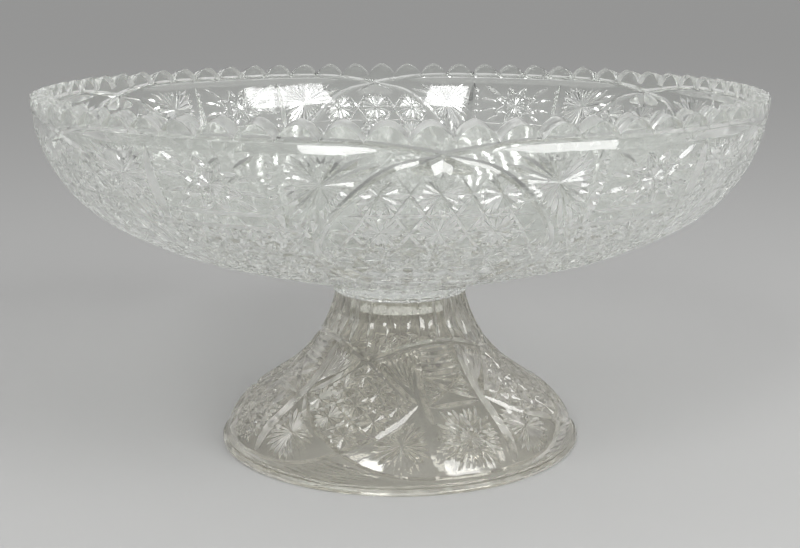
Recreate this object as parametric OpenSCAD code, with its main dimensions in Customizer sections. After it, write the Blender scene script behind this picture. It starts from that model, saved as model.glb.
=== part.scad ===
// Footed trifle bowl in pressed glass: a wide bowl with a scalloped rim rests on a hollow flared stand.
// The bowl's fluted collar sits on the stand's neck. A short plug keeps it central, and it lifts straight off.
// The origin is on the table at the centre of the stand's foot, and +Z is up.

/* [Bowl] */
// Diameter of the bowl over the rim
rim_d = 260; // [230:1:300]
// Thickness of the bowl's wall
wall = 5.5; // [4:0.5:7]
// Thickness of the bowl's floor above the collar
floor_t = 6; // [4.5:0.5:8]
// Straight stretch of wall just under the rim
rim_straight = 1.7; // [0.5:0.1:4]
// Radius of the turn from the belly up to the rim
shoulder_r = 50; // [40:1:58]
// Radius of the slow curve under the shoulder
belly_r = 125; // [100:1:150]
// Slope of the underside above the table, in degrees
under_slope = 16.6; // [12:0.1:22]
// Slope of the wall where belly and shoulder meet, in degrees
belly_slope = 31.5; // [27:0.5:36]

/* [Rim] */
// Number of round arches along the rim
arches = 66; // [48:6:78]
// Depth of the notch between two arches
arch_depth = 5; // [3:0.1:5.2]
// Slope of the arches' tops, down and out, in degrees
arch_slope = 14; // [0:1:25]
// Tilt of an arch's two halves where they meet at its peak, in degrees
arch_ridge = 8; // [5:1:12]

/* [Collar] */
// Diameter of the collar where it rests on the stand
collar_d = 47.6; // [45:0.1:54]
// Diameter of the collar where it meets the bowl
collar_top_d = 56.8; // [55:0.1:64]
// Height of the collar
collar_h = 4.5; // [3:0.1:8]
// Turn of the collar's rounded side from its bottom to its top, in degrees
collar_turn = 36; // [20:1:40]
// Number of flutes round the collar
collar_flutes = 32; // [24:2:40]
// Depth of a collar flute
collar_flute_depth = 0.7; // [0.3:0.1:1]
// Length of the plug that drops into the stand's neck
plug_h = 6; // [3:0.5:9]
// Clearance round the plug, on the radius
plug_gap = 0.3; // [0.2:0.05:0.6]

/* [Stand] */
// Height of the stand
stand_h = 56; // [52:1:62]
// Diameter of the stand's foot
foot_d = 135.2; // [128:0.4:146]
// Height of the foot's edge
foot_edge_h = 1.8; // [1.4:0.1:3]
// Step from the foot's edge in to the flank
foot_step = 1; // [0.6:0.1:2]
// Bevel at the top and bottom of the foot's edge
foot_bevel = 0.5; // [0.2:0.1:0.6]
// Length of the straight flank between the bulge above the foot and the flare below the neck
flank_l = 13; // [4:0.5:24]
// Lean of the bulge at the foot, in degrees from upright
foot_lean = 14; // [8:1:20]
// Diameter of the neck at its top
neck_d = 48.4; // [47:0.2:52]
// Lean of the neck at its top, in degrees from upright
neck_lean = 11.6; // [8:0.2:15]
// Thickness of the stand's wall
stand_wall = 5; // [4:0.5:6]
// Diameter of the bore in the neck
bore_d = 38; // [34:0.5:40]
// Depth of the straight bore
bore_h = 10; // [9.5:0.5:13]
// Height of the taper that leads up to the bore
bore_taper_h = 6; // [3:0.5:9]

/* [Neck flutes] */
// Number of flutes round the neck
neck_flutes = 24; // [16:4:32]
// Depth of a neck flute
neck_flute_depth = 0.8; // [0.4:0.1:1.2]
// Length of the shortest neck flute, down from the top
neck_flute_short = 11.5; // [8:0.5:14]
// Extra length of the longest neck flute
neck_flute_extra = 6.5; // [0:0.5:8]

/* [Bowl pattern] */
// Width of the borders that cross under the rim and run on as swags
swag_w = 2.3; // [1.5:0.1:3]
// Depth of those borders
swag_depth = 0.8; // [0.4:0.1:1.1]
// Length of the rays of a burst on the bowl
bowl_burst_r = 11; // [8:0.5:12]
// Length of the notched blades between the bursts and the hobstars
blade_l = 26; // [20:1:28]
// Width of a blade
blade_w = 5; // [3:0.1:6]
// Depth of a blade
blade_depth = 1.3; // [0.6:0.1:1.5]
// Radius of a hobstar on the bowl, at its points
bowl_star_r = 10.4; // [8:0.2:11]

/* [Stand pattern] */
// Width of the borders that cross on the stand and run on as swags
border_w = 2.6; // [1.6:0.1:3]
// Depth of those borders
border_depth = 0.85; // [0.4:0.05:1.1]
// Width of the leaning bars
bar_w = 4.4; // [3:0.1:5]
// Depth of the bars
bar_depth = 1.1; // [0.6:0.1:1.4]
// Length of the rays of a burst on the stand
stand_burst_r = 9.6; // [7:0.2:10]
// Radius of a hobstar on the stand, at its points
stand_star_r = 11; // [8:0.2:11.4]

/* [Rays] */
// Width of a ray where it is widest
ray_w = 2.3; // [1.5:0.1:2.6]
// Depth of a ray and of a hobstar's point
ray_depth = 1; // [0.4:0.1:1.2]
// Width of a hobstar's point
point_w = 4; // [2:0.1:4.6]
// Rays in a burst
rays = 16; // [10:2:20]

/* [Hidden] */

// Panels of the pattern round each piece, and the turn of its first crossing from the front
bowl_panels = 6;
bowl_turn = 5.2 - 90;
arch_turn = bowl_turn + 1.4;
stand_panels = 4;
stand_turn = -20 - 90;
// The flare's radius as a share of the bulge's
flare_share = 1.95;
// Share of its pitch that a flute is wide
flute_share = 0.94;
collar_flute_share = 0.88;
// Share of the way past an arch's peak that a notch is cut
ridge_share = 0.5;

// Places in a panel, as degrees from its crossing and as a share of the way up the piece's outline
swag_shares = [[0, 0.931], [7, 0.952], [15, 0.9594], [30, 0.96]];
oval_shares = [[0, 0.929], [4.8, 0.911], [9.5, 0.865], [13.6, 0.795], [17, 0.7], [17, 0.6], [13.8, 0.45],
    [7.5, 0.295], [0, 0.212]];
bowl_burst_shares = [15.1, 0.864];
blade_shares = [20.7, 0.84];
bowl_star_shares = [30, 0.854];
upper_swag_shares = [[0, 0.703], [14, 0.748], [29, 0.784], [45, 0.796]];
lower_swag_shares = [[0, 0.155], [10, 0.088], [25, 0.046], [45, 0.038]];
lozenge_shares = [[0, 0.703], [14, 0.6], [28.6, 0.4535], [15, 0.277], [0, 0.155]];
bar_shares = [[28.8, 0.759], [29.8, 0.53], [31, 0.31], [32, 0.085]];
stand_burst_shares = [20.5, 0.222];
stand_star_shares = [43.8, 0.231];
rung_shares = [0.765, 0.73, 0.695, 0.659, 0.624];
rung_half = 12.5;
hourglass_shares = [[31.6, 0.617], [57.8, 0.448]];
sill_share = 0.4366;
// Where a ray starts and where it is widest, as shares of its length
hub_share = 0.04;
ray_share = 0.66;
// Points of a hobstar, where they start as a share of its radius, and where they are widest
star_points = 8;
star_root_share = 0.3;
point_share = 0.4;
// How deep a rung's ends are, as a share of its depth
end_depth_share = 0.15;
// Overrun of every cut past the surface that it leaves
over = 1;
// Rise of the pattern's cutters past the surface
lift = 0.3;
// Steps in the long arcs and in the slow belly
arc_steps = 12;
belly_steps = 4;
// Smoothness of the revolved shapes and of the small round cutters
round_fn = 180;
small_fn = 48;

rim_r = rim_d / 2;
collar_r = collar_d / 2;
collar_top_r = collar_top_d / 2;
foot_r = foot_d / 2;
neck_r = neck_d / 2;
bore_r = bore_d / 2;
plug_r = bore_r - plug_gap;

function unit(angle) = [cos(angle), sin(angle)];
function reversed(list) = [for (i = [len(list) - 1:-1:0]) list[i]];

// Points along an arc, as [radius, height] pairs
function arc(centre, r, from, to, steps) =
    [for (i = [0:steps]) centre + r * unit(from + (to - from) * i / steps)];

// Radius of the circle that cuts a groove this wide and this deep
function groove_r(width, depth) = (width * width / 4 + depth * depth) / (2 * depth);

// The bowl's outline: a straight underside, a slow belly, a shoulder and a short straight wall
collar_top_z = stand_h + collar_h;
collar_chord = [collar_top_r - collar_r, collar_h];
collar_low = -atan2(collar_chord[0], collar_chord[1]) - collar_turn / 2;
collar_round = norm(collar_chord) / (2 * sin(collar_turn / 2));
collar_c = [collar_r, stand_h] - collar_round * unit(collar_low);
belly_start_r = rim_r - shoulder_r * (1 - sin(belly_slope)) - belly_r * (sin(belly_slope) - sin(under_slope));
belly_start_z = collar_top_z + (belly_start_r - collar_top_r) * tan(under_slope);
shoulder_z = belly_start_z + belly_r * (cos(under_slope) - cos(belly_slope)) + shoulder_r * cos(belly_slope);
shoulder_c = [rim_r - shoulder_r, shoulder_z];
belly_c = shoulder_c + (shoulder_r - belly_r) * unit(belly_slope - 90);
rim_z = shoulder_z + rim_straight;
floor_z = collar_top_z + floor_t;

// The curved part of the bowl's outline, moved inward by t
function bowl_curve(t) = concat(
    arc(belly_c, belly_r - t, under_slope - 90, belly_slope - 90, belly_steps),
    arc(shoulder_c, shoulder_r - t, belly_slope - 90, 0, arc_steps));

// Lengths along the bowl's outline, from the collar to the rim
under_len = (belly_start_r - collar_top_r) / cos(under_slope);
belly_len = belly_r * (belly_slope - under_slope) * PI / 180;
shoulder_len = shoulder_r * (90 - belly_slope) * PI / 180;
bowl_len = under_len + belly_len + shoulder_len + rim_straight;

// A place on an arc, as radius, height, the way the surface faces there and its bend
function arc_place(centre, r, facing, bend) = concat(centre + r * unit(facing), [facing, bend]);

// A place that is this share of the way up the bowl's outline
function bowl_place(share) = let(s = share * bowl_len, up = s - under_len, on = up - belly_len)
    up < 0 ? [collar_top_r + s * cos(under_slope), collar_top_z + s * sin(under_slope), under_slope - 90, 0] :
    on < 0 ? arc_place(belly_c, belly_r, under_slope - 90 + up / belly_r * 180 / PI, 1 / belly_r) :
    on < shoulder_len ?
        arc_place(shoulder_c, shoulder_r, belly_slope - 90 + on / shoulder_r * 180 / PI, 1 / shoulder_r) :
        [rim_r, shoulder_z + on - shoulder_len, 0, 0];

// Radius at which the sloping inside reaches the flat floor
inside_start = bowl_curve(wall)[0];
floor_r = inside_start[0] - (inside_start[1] - floor_z) / tan(under_slope);

// The stand's outline: a bulge and a flare, joined by a straight flank that touches both.
// The bulge's radius is the one at which a flank of the wanted length fits between the foot and the neck.
foot_top = [foot_r - foot_step, foot_edge_h];
neck_top = [neck_r, stand_h];
rise = neck_top - foot_top;
leans = flare_share * unit(neck_lean) + unit(foot_lean);
spread = rise * leans;
reach = rise * rise - flank_l * flank_l;
bulge_r = reach / (sqrt(spread * spread + (pow(1 + flare_share, 2) - leans * leans) * reach) - spread);
flare_r = flare_share * bulge_r;
bulge_c = foot_top - bulge_r * unit(foot_lean);
flare_c = neck_top + flare_r * unit(neck_lean);
centres = flare_c - bulge_c;
flank_lean = atan2(centres[1], centres[0]) - acos((bulge_r + flare_r) / norm(centres));
bore_start_z = stand_h - bore_h;
flare_end_z = bore_start_z - bore_taper_h;

// Lengths along the stand's outline, from the foot's edge to the neck
bulge_len = bulge_r * (flank_lean - foot_lean) * PI / 180;
flare_len = flare_r * (flank_lean - neck_lean) * PI / 180;
stand_len = bulge_len + flank_l + flare_len;

// A place that is this share of the way up the stand's outline
function stand_place(share) = let(s = share * stand_len, up = s - bulge_len, on = up - flank_l)
    up < 0 ? arc_place(bulge_c, bulge_r, foot_lean + s / bulge_r * 180 / PI, 1 / bulge_r) :
    on < 0 ? concat(bulge_c + bulge_r * unit(flank_lean) + up * unit(flank_lean + 90), [flank_lean, 0]) :
        arc_place(flare_c, -flare_r, flank_lean - on / flare_r * 180 / PI, -1 / flare_r);

// The stand's curve from one height up to another, moved inward by t
function stand_curve(t, low_z, high_z) = let(
        low = asin((low_z - bulge_c[1]) / (bulge_r - t)), high = asin((flare_c[1] - high_z) / (flare_r + t)))
    concat(
        arc(bulge_c, bulge_r - t, low, flank_lean, arc_steps),
        arc(flare_c, flare_r + t, 180 + flank_lean, 180 + high, arc_steps));

module bowl_blank() {
    rotate_extrude($fn = round_fn)
        polygon(concat(
            [[0, collar_top_z], [collar_top_r, collar_top_z]],
            bowl_curve(0),
            [[rim_r, rim_z], [rim_r - wall, rim_z]],
            reversed(bowl_curve(wall)),
            [[floor_r, floor_z], [0, floor_z]]));
}

// The collar and the plug, with a core that reaches halfway up into the bowl's floor
module collar_blank() {
    rotate_extrude($fn = round_fn)
        polygon(concat(
            [[0, stand_h - plug_h], [plug_r, stand_h - plug_h], [plug_r, stand_h]],
            arc(collar_c, collar_round, collar_low, collar_low + collar_turn, arc_steps),
            [[plug_r, collar_top_z], [plug_r, collar_top_z + floor_t / 2], [0, collar_top_z + floor_t / 2]]));
}

module stand_blank() {
    rotate_extrude($fn = round_fn)
        polygon(concat(
            [[foot_r - foot_bevel, 0], [foot_r, foot_bevel], [foot_r, foot_edge_h - foot_bevel]],
            stand_curve(0, foot_edge_h, stand_h),
            [[bore_r, stand_h], [bore_r, bore_start_z]],
            reversed(stand_curve(stand_wall, 0, flare_end_z))));
}

// One notch between two arches: what is left beside it are the round arches, which slope outward.
// Each arch comes to a faint ridge at its peak, where the cuts from both sides meet.
module rim_notch() {
    half_pitch = rim_r * sin(180 / arches);
    arch_r = (half_pitch * half_pitch + arch_depth * arch_depth)
        / (2 * (arch_depth * cos(arch_ridge) - half_pitch * sin(arch_ridge)));
    half_cut = half_pitch + arch_r * sin(arch_ridge) * ridge_share;
    aside = half_pitch + arch_r * sin(arch_ridge);
    translate([rim_r - wall, 0, rim_z])
        rotate([0, arch_slope, 0])
            translate([-over, 0, 0])
                rotate([90, 0, 90])
                    linear_extrude(wall / cos(arch_slope) + 2 * over)
                        difference() {
                            translate([-half_cut, -arch_depth - over])
                                square([2 * half_cut, arch_depth + wall * tan(arch_slope) + 2 * over]);
                            for (side = [-1, 1])
                                translate([side * aside, -arch_r * cos(arch_ridge)])
                                    circle(arch_r, $fn = small_fn);
                        }
}

// One flute of the collar: a round groove that follows the collar's curve and runs out under its lower edge
module collar_flute() {
    r = groove_r(collar_flute_share * 2 * collar_r * sin(180 / collar_flutes), collar_flute_depth);
    floor_round = collar_round - collar_flute_depth;
    exit = -asin(min(1, -collar_round * sin(collar_low) / floor_round));
    start = (exit - 90) / 2;
    turn = collar_low + collar_turn - start + over / collar_round * 180 / PI;
    translate([collar_c[0], 0, collar_c[1]])
        rotate([90, 0, 0])
            rotate(start)
                rotate_extrude(angle = turn, $fn = round_fn)
                    intersection() {
                        translate([floor_round + r, 0])
                            circle(r, $fn = small_fn);
                        translate([floor_round - lift, -r])
                            square([collar_flute_depth + 2 * lift, 2 * r]);
                    }
}

// One flute of the neck: a round groove that follows the flare down from the top
module neck_flute(length) {
    r = groove_r(flute_share * 2 * neck_r * sin(180 / neck_flutes), neck_flute_depth);
    lead = over / flare_r * 180 / PI;
    translate([flare_c[0], 0, flare_c[1]])
        rotate([90, 0, 0])
            rotate(180 + neck_lean - lead)
                rotate_extrude(angle = lead + length / flare_r * 180 / PI, $fn = round_fn)
                    translate([flare_r - r + neck_flute_depth, 0])
                        circle(r, $fn = small_fn);
}

// How fast the surface at a place curves away, in a direction clockwise from straight up
function bend(place, way) = pow(cos(way), 2) * place[3] + pow(sin(way), 2) * cos(place[2]) / place[0];

// A straight V cut through the surface, centred on a place, with its own depth under the surface at its ends
module v_cut(place, way, half, width, depth, end_depth) {
    sag = bend(place, way) * half * half / 2;
    top = end_depth + max(0, sag) + lift;
    side = width * top / (2 * depth);
    translate([place[0], 0, place[1]])
        rotate([0, -place[2], 0])
            rotate([-way, 0, 0])
                translate([-end_depth - sag, 0, -half])
                    linear_extrude(2 * half)
                        polygon([[0, 0], [top, side], [top, -side]]);
}

// A V cut with pointed ends, like a small boat. It runs from one distance past a place to another,
// and is widest and deepest at a share of its length.
module boat(place, way, from, to, widest_share, width, depth) {
    function fall(d) = bend(place, way) * d * d / 2;
    middle = from + widest_share * (to - from);
    clear = lift + max(0, bend(place, way)) * pow(max(middle - from, to - middle), 2) / 8;
    side = width * (depth + clear) / (2 * depth);
    translate([place[0], 0, place[1]])
        rotate([0, -place[2], 0])
            rotate([-way, 0, 0])
                polyhedron(
                    [[clear - fall(from), 0, from], [clear - fall(to), 0, to],
                        [clear - fall(middle), side, middle], [clear - fall(middle), -side, middle],
                        [-fall(middle) - depth, 0, middle]],
                    [[0, 3, 2], [1, 2, 3], [0, 2, 4], [3, 0, 4], [2, 1, 4], [1, 3, 4]]);
}

// A straight V cut between two places of a table, so deep on average
module border(place, from, to, full, width, depth) {
    across = place[0] * (to[0] - from[0]) * PI / 180;
    rise = (to[1] - from[1]) * full;
    way = atan2(across, rise);
    run = norm([across, rise]);
    rotate((from[0] + to[0]) / 2)
        v_cut(place, way, (run + depth) / 2, width, depth, depth - bend(place, way) * run * run / 16);
}

// A burst of rays
module burst(place, count, r) {
    for (k = [0:count - 1])
        boat(place, k * 360 / count, hub_share * r, r, ray_share, ray_w, ray_depth);
}

// The eight points of a hobstar
module hobstar(place, r) {
    for (k = [0:star_points - 1])
        boat(place, k * 360 / star_points, star_root_share * r, r, point_share, point_w, ray_depth);
}

// One panel of the bowl's pattern: on each side half an oval, its swag, a burst and a blade, then a hobstar
module bowl_panel() {
    for (side = [0, 1])
        mirror([0, side, 0]) {
            for (table = [swag_shares, oval_shares])
                for (i = [1:len(table) - 1])
                    border(
                        bowl_place((table[i - 1][1] + table[i][1]) / 2),
                        table[i - 1], table[i], bowl_len, swag_w, swag_depth);
            rotate(bowl_burst_shares[0])
                burst(bowl_place(bowl_burst_shares[1]), rays, bowl_burst_r);
            rotate(blade_shares[0])
                v_cut(bowl_place(blade_shares[1]), 0, blade_l / 2, blade_w, blade_depth, 0);
        }
    rotate(bowl_star_shares[0])
        hobstar(bowl_place(bowl_star_shares[1]), bowl_star_r);
}

module stand_border(from, to, width, depth) {
    border(stand_place((from[1] + to[1]) / 2), from, to, stand_len, width, depth);
}

// One panel of the stand's pattern: a lozenge with its swags and bars, and what stands between two lozenges
module stand_panel() {
    for (side = [0, 1])
        mirror([0, side, 0]) {
            for (table = [lozenge_shares, upper_swag_shares, lower_swag_shares])
                for (i = [1:len(table) - 1])
                    stand_border(table[i - 1], table[i], border_w, border_depth);
            for (i = [1:len(bar_shares) - 1])
                stand_border(bar_shares[i - 1], bar_shares[i], bar_w, bar_depth);
            rotate(stand_burst_shares[0])
                burst(stand_place(stand_burst_shares[1]), rays, stand_burst_r);
        }
    rotate(stand_star_shares[0])
        hobstar(stand_place(stand_star_shares[1]), stand_star_r);
    rotate(180 / stand_panels) {
        for (share = rung_shares)
            rung(stand_place(share));
        rung(stand_place(sill_share));
    }
    for (flip = [0, 1])
        stand_border(
            [hourglass_shares[0][0], hourglass_shares[flip][1]],
            [hourglass_shares[1][0], hourglass_shares[1 - flip][1]],
            border_w, border_depth);
}

// A level cut like a ladder's rung, with pointed ends
module rung(place) {
    v_cut(place, 90, place[0] * rung_half * PI / 180, border_w, border_depth, end_depth_share * border_depth);
}

module bowl() {
    color("lightcyan", 0.5)
        union() {
            difference() {
                bowl_blank();
                for (i = [0:arches - 1])
                    rotate(arch_turn + i * 360 / arches)
                        rim_notch();
                for (i = [0:bowl_panels - 1])
                    rotate(bowl_turn + i * 360 / bowl_panels)
                        bowl_panel();
            }
            difference() {
                collar_blank();
                for (i = [0:collar_flutes - 1])
                    rotate(i * 360 / collar_flutes)
                        collar_flute();
            }
        }
}

module stand() {
    color("ivory", 0.5)
        difference() {
            stand_blank();
            for (i = [0:neck_flutes - 1]) {
                turn = i * 360 / neck_flutes;
                swell = abs(cos(turn * stand_panels / 2));
                rotate(stand_turn + turn)
                    neck_flute(neck_flute_short + neck_flute_extra * swell);
            }
            for (i = [0:stand_panels - 1])
                rotate(stand_turn + i * 360 / stand_panels)
                    stand_panel();
        }
}

bowl();
stand();
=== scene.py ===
# %% [markdown]
# A footed trifle bowl in pressed glass
#
# The real object is two pieces of soda-lime glass, each pressed in an iron mould: a wide bowl with a
# scalloped rim, and a hollow flared stand under it. Both carry the old cut-glass vocabulary of mitre cuts,
# bursts, buttons and swags. A cutter would grind these with a V-edged wheel, so this script works as the
# cutter does: it turns a smooth blank, then takes hundreds of V-shaped canoes of glass out of it.
# Texture or bump could fake the grooves from afar, but glass shows every facet twice, by reflection and by
# refraction, so only true geometry looks right.

# %% Load the fixed frame
import bmesh
import bpy
from math import acos, asin, atan2, cos, degrees, hypot, pi, radians, sin, sqrt, tan
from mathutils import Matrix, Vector


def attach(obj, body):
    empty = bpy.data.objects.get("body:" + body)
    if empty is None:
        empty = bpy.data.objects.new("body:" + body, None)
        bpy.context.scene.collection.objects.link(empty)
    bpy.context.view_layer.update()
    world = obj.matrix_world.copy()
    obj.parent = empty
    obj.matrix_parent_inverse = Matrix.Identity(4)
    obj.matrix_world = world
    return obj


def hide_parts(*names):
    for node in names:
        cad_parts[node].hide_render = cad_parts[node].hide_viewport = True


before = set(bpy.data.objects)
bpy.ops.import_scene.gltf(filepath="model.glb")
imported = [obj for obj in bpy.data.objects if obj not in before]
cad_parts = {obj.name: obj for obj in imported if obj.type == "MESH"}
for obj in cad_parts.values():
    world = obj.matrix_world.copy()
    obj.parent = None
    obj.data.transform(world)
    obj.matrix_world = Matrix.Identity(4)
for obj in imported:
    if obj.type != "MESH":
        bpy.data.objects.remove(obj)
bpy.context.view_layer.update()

# %% [markdown]
# The camera comes first, because everything else is judged through it. Its place, pitch and lens were
# fitted to the ellipses of the rim, the neck and the foot in the photograph, for a 36 mm wide sensor.

# %% Set up the camera
MM = 0.001
CAMERA_BACK = 472.3
CAMERA_HEIGHT = 168.0
CAMERA_PITCH = 12.72
LENS = 57.98
SENSOR = 36.0

camera = bpy.data.objects.new("camera", bpy.data.cameras.new("camera"))
camera.data.lens = LENS
camera.data.sensor_width = SENSOR
camera.location = (0, -CAMERA_BACK * MM, CAMERA_HEIGHT * MM)
camera.rotation_euler = (radians(90 - CAMERA_PITCH), 0, 0)
bpy.context.scene.collection.objects.link(camera)
bpy.context.scene.camera = camera
print("camera", round(CAMERA_BACK), "mm back,", round(CAMERA_HEIGHT), "mm up")

# %% [markdown]
# Both pieces are revolved, so each has one outline. An outline is kept as a walk: a row of points
# (radius, height) in millimetres, and the distance walked along them. A place on the glass is then an
# angle round the axis and a distance along the outline, which is how a pattern is laid out on a mould.

# %% Walk along an outline
class Outline:
    def __init__(self, points, start=0.0):
        self.points = points
        self.walked = [start]
        for a, b in zip(points, points[1:]):
            self.walked.append(self.walked[-1] + hypot(b[0] - a[0], b[1] - a[1]))

    def at(self, s):
        """Radius and height at the distance s; past an end it goes straight on."""
        i = 0
        while i < len(self.points) - 2 and s > self.walked[i + 1]:
            i += 1
        t = (s - self.walked[i]) / (self.walked[i + 1] - self.walked[i])
        a = self.points[i]
        b = self.points[i + 1]
        return a[0] + (b[0] - a[0]) * t, a[1] + (b[1] - a[1]) * t

    def outward(self, s, reach=0.8):
        """Unit vector (radius, height) that points out of the glass at s."""
        a = self.at(s - reach)
        b = self.at(s + reach)
        length = hypot(b[0] - a[0], b[1] - a[1])
        return (b[1] - a[1]) / length, (a[0] - b[0]) / length


def ray(angle):
    return cos(radians(angle)), sin(radians(angle))


def arc(centre, radius, start, end, steps):
    turns = [start + (end - start) * i / steps for i in range(steps + 1)]
    return [(centre[0] + radius * ray(a)[0], centre[1] + radius * ray(a)[1]) for a in turns]


def on_glass(outline, angle, s, height=0.0):
    """The point at an angle to the right of the front, s along the outline and so far above the glass."""
    r, z = outline.at(s)
    out_r, out_z = outline.outward(s)
    r += out_r * height
    z += out_z * height
    return Vector((r * sin(radians(angle)), -r * cos(radians(angle)), z)) * MM


# %% The bowl's outlines, outside and inside
RIM_R = 130.0
WALL = 5.5
FLOOR_T = 6.0
RIM_STRAIGHT = 1.7
SHOULDER_R = 50.0
BELLY_R = 125.0
UNDER_SLOPE = 16.6
BELLY_SLOPE = 31.5
STAND_H = 56.0
COLLAR_R = 23.8
COLLAR_TOP_R = 28.4
COLLAR_H = 4.5
COLLAR_TURN = 36.0
PLUG_R = 18.7
PLUG_H = 6.0

collar_top_z = STAND_H + COLLAR_H
belly_start_r = RIM_R - SHOULDER_R * (1 - ray(BELLY_SLOPE)[1])
belly_start_r -= BELLY_R * (ray(BELLY_SLOPE)[1] - ray(UNDER_SLOPE)[1])
belly_start_z = collar_top_z + (belly_start_r - COLLAR_TOP_R) * tan(radians(UNDER_SLOPE))
shoulder_z = belly_start_z + BELLY_R * (ray(UNDER_SLOPE)[0] - ray(BELLY_SLOPE)[0])
shoulder_z += SHOULDER_R * ray(BELLY_SLOPE)[0]
shoulder_c = (RIM_R - SHOULDER_R, shoulder_z)
belly_c = tuple(c + (SHOULDER_R - BELLY_R) * d for c, d in zip(shoulder_c, ray(BELLY_SLOPE - 90)))
rim_z = shoulder_z + RIM_STRAIGHT
floor_z = collar_top_z + FLOOR_T


def bowl_curve(inset):
    return (arc(belly_c, BELLY_R - inset, UNDER_SLOPE - 90, BELLY_SLOPE - 90, 16)
            + arc(shoulder_c, SHOULDER_R - inset, BELLY_SLOPE - 90, 0, 40)[1:])


inside = bowl_curve(WALL)
floor_r = inside[0][0] - (inside[0][1] - floor_z) / tan(radians(UNDER_SLOPE))
# Distances on the bowl are counted from radius 31, just outside the collar
COLLAR_EDGE_S = -2.71
bowl_out = Outline([(COLLAR_TOP_R, collar_top_z)] + bowl_curve(0) + [(RIM_R, rim_z)], COLLAR_EDGE_S)
bowl_in = Outline([(floor_r, floor_z)] + inside + [(RIM_R - WALL, rim_z)])
collar_flare = COLLAR_TOP_R - COLLAR_R
collar_low = -degrees(atan2(collar_flare, COLLAR_H)) - COLLAR_TURN / 2
collar_round = hypot(collar_flare, COLLAR_H) / (2 * ray(COLLAR_TURN / 2)[1])
collar_c = (COLLAR_R - collar_round * ray(collar_low)[0], STAND_H - collar_round * ray(collar_low)[1])
collar_out = Outline(arc(collar_c, collar_round, collar_low, collar_low + COLLAR_TURN, 6))
RIM_S = bowl_out.walked[-1]
print("bowl: rim at", round(rim_z, 2), "mm, outline", round(RIM_S, 1), "mm long")

# %% The stand's outlines, outside and inside
FOOT_R = 67.6
FOOT_EDGE_H = 1.8
FOOT_STEP = 1.0
FOOT_BEVEL = 0.5
FOOT_LEAN = 14.0
NECK_R = 24.2
NECK_LEAN = 11.6
FLANK_L = 13.0
FLARE_SHARE = 1.95
STAND_WALL = 5.0
BORE_R = 19.0
BORE_H = 10.0
BORE_TAPER_H = 6.0


def dot(a, b):
    return a[0] * b[0] + a[1] * b[1]


foot_top = (FOOT_R - FOOT_STEP, FOOT_EDGE_H)
rise = (NECK_R - foot_top[0], STAND_H - foot_top[1])
leans = tuple(FLARE_SHARE * a + b for a, b in zip(ray(NECK_LEAN), ray(FOOT_LEAN)))
spread = dot(rise, leans)
gap = dot(rise, rise) - FLANK_L ** 2
bulge_r = gap / (sqrt(spread ** 2 + ((1 + FLARE_SHARE) ** 2 - dot(leans, leans)) * gap) - spread)
flare_r = FLARE_SHARE * bulge_r
bulge_c = (foot_top[0] - bulge_r * ray(FOOT_LEAN)[0], foot_top[1] - bulge_r * ray(FOOT_LEAN)[1])
flare_c = (NECK_R + flare_r * ray(NECK_LEAN)[0], STAND_H + flare_r * ray(NECK_LEAN)[1])
centres = (flare_c[0] - bulge_c[0], flare_c[1] - bulge_c[1])
flank_lean = degrees(atan2(centres[1], centres[0]) - acos((bulge_r + flare_r) / hypot(*centres)))


def stand_curve(inset, low_z, high_z):
    low = degrees(asin((low_z - bulge_c[1]) / (bulge_r - inset)))
    high = 180 + degrees(asin((flare_c[1] - high_z) / (flare_r + inset)))
    return (arc(bulge_c, bulge_r - inset, low, flank_lean, 24)
            + arc(flare_c, flare_r + inset, 180 + flank_lean, high, 40))


foot_edge = [(FOOT_R - FOOT_BEVEL, 0.0), (FOOT_R, FOOT_BEVEL), (FOOT_R, FOOT_EDGE_H - FOOT_BEVEL)]
stand_out = Outline(foot_edge + stand_curve(0, FOOT_EDGE_H, STAND_H))
stand_in = Outline(stand_curve(STAND_WALL, 0, STAND_H - BORE_H - BORE_TAPER_H))
NECK_S = stand_out.walked[-1]
print("stand: bulge", round(bulge_r, 1), "flare", round(flare_r, 1), "outline", round(NECK_S, 1), "mm long")

# %% [markdown]
# A blank is the outline turned round the axis, closed into a solid wall of glass. It is coarse where it
# may be: facets two degrees wide are 0.02 mm off a true circle, and smooth shading hides them.

# %% Turn a blank
TURN_STEPS = 180


def mesh_object(name, points, faces):
    mesh = bpy.data.meshes.new(name)
    mesh.from_pydata(points, [], faces)
    tidy = bmesh.new()
    tidy.from_mesh(mesh)
    bmesh.ops.recalc_face_normals(tidy, faces=tidy.faces)
    tidy.to_mesh(mesh)
    tidy.free()
    return bpy.data.objects.new(name, mesh)


def turned(name, loop, steps=TURN_STEPS):
    """Revolves a closed loop of (radius, height); a point on the axis becomes a pole."""
    points = []
    rings = []
    for r, z in loop:
        count = 1 if r < 0.001 else steps
        rings.append([len(points) + k for k in range(count)] * (steps // count))
        for k in range(count):
            a = 2 * pi * k / steps
            points.append(Vector((r * sin(a), -r * cos(a), z)) * MM)
    faces = []
    pairs = list(zip(rings, rings[1:] + rings[:1]))
    for low, high in pairs:
        if len(set(low)) == 1 and len(set(high)) == 1:
            continue
        for k in range(steps):
            n = (k + 1) % steps
            corners = [low[k], low[n], high[n], high[k]]
            faces.append([c for i, c in enumerate(corners) if c != corners[i - 1]])
    return mesh_object(name, points, faces)


def rows(outline, start, end, count):
    return [outline.at(start + (end - start) * i / count) for i in range(count + 1)]


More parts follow.
